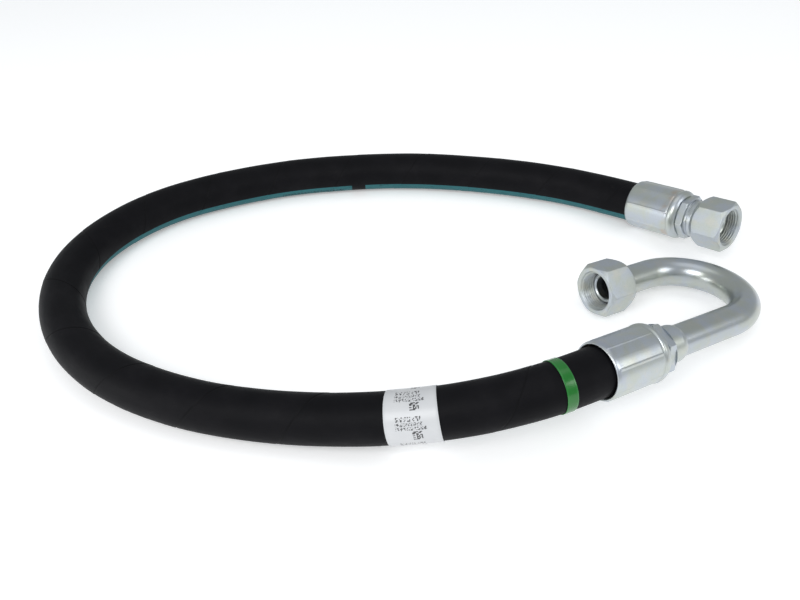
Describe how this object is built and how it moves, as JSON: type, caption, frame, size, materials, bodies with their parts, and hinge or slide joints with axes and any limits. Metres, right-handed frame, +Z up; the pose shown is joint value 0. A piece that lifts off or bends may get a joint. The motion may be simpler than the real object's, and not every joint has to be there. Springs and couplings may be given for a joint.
{
  "type": "hydraulic hose assembly",
  "caption": "Black rubber high-pressure hose with crimped ferrules, a straight swivel nut fitting on one end and a return-bend tube fitting with a swivel nut on the other.",
  "frame": {"origin": "on the surface the assembly lies on, under the middle of the box round its two fittings; the hose's own extent isn't counted", "axes": "+Z up from the surface; +Y from the bent-tube fitting towards the straight fitting; +X to the right, away from the hose's loop"},
  "size_m": [0.6354, 0.4194, 0.0646],
  "materials": {
    "rubber": "matt black synthetic rubber, wrap-cured",
    "liner": "smooth black nitrile tube",
    "wire": "brass-coated high-tensile steel wire",
    "zinc": "bright zinc plate with a thin blue-green passivation",
    "satin_zinc": "zinc plate over milled and turned faces",
    "label": "satin white film label",
    "band": "glossy green adhesive tape",
    "seal": "smooth black nitrile O-ring"
  },
  "bodies": {
    "hose_assembly": {"hose_cover": "rubber", "wire_spiral_1": "wire", "wire_spiral_2": "wire", "wire_spiral_3": "wire", "wire_spiral_4": "wire", "hose_liner": "liner", "hose_label": "label", "colour_band": "band", "straight_ferrule": "zinc", "straight_nipple": "zinc", "straight_o_ring": "seal", "bent_ferrule": "zinc", "bent_nipple": "zinc", "bent_tube": "zinc", "bent_cone": "zinc", "bent_o_ring": "seal"},
    "straight_swivel_nut": {"straight_nut": "satin_zinc"},
    "bent_swivel_nut": {"bent_nut": "satin_zinc"}
  },
  "joints": [
    {"name": "straight_nut_turn", "type": "hinge", "parent": "hose_assembly", "child": "straight_swivel_nut", "pos_m": [0.06924, 0.07024, 0.03609], "axis": [0.6356, -0.7574, 0.1495], "continuous": true},
    {"name": "bent_nut_turn", "type": "hinge", "parent": "hose_assembly", "child": "bent_swivel_nut", "pos_m": [-0.04528, -0.00345, 0.02378], "axis": [-0.8738, -0.4764, 0.0976], "continuous": true}
  ]
}
